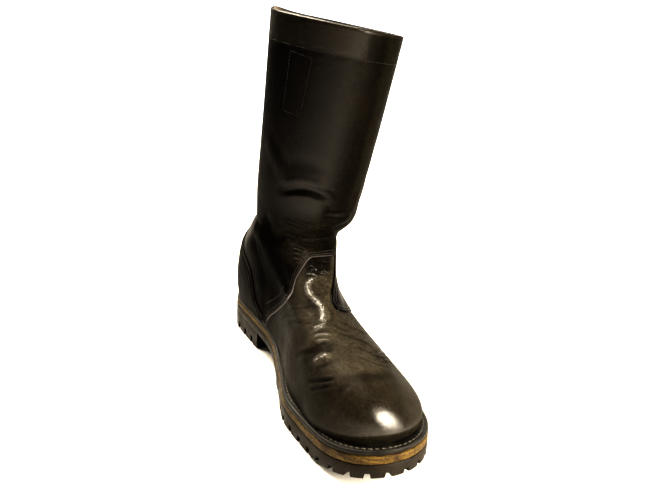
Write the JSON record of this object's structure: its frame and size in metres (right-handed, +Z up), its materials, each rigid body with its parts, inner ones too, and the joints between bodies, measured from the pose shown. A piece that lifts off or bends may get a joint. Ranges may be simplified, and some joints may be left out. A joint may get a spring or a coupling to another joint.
{
  "type": "leather boot",
  "caption": "Pull-on leather boot for the left foot with a tall hollow shaft, plain rounded toe, heel counter, welt, tan midsole and lugged rubber sole and heel.",
  "frame": {"origin": "middle of the overall box at floor level, where the sole stands", "axes": "+X to the toe, +Y to the outer side of the foot, +Z up"},
  "size_m": [0.3, 0.1236, 0.2954],
  "materials": {
    "upper_leather": "polished black, worn",
    "counter_leather": "polished black, worn",
    "loop_leather": "matt black",
    "insole_leather": "natural",
    "welt_leather": "matt black",
    "midsole_leather": "raw tan edge",
    "outsole_rubber": "matt black",
    "heel_rubber": "matt black"
  },
  "bodies": {
    "root": {"upper": "upper_leather", "counter": "counter_leather", "pull_loop_medial": "loop_leather", "pull_loop_lateral": "loop_leather", "insole": "insole_leather", "welt": "welt_leather", "midsole": "midsole_leather", "outsole": "outsole_rubber", "heel": "heel_rubber"}
  },
  "joints": []
}
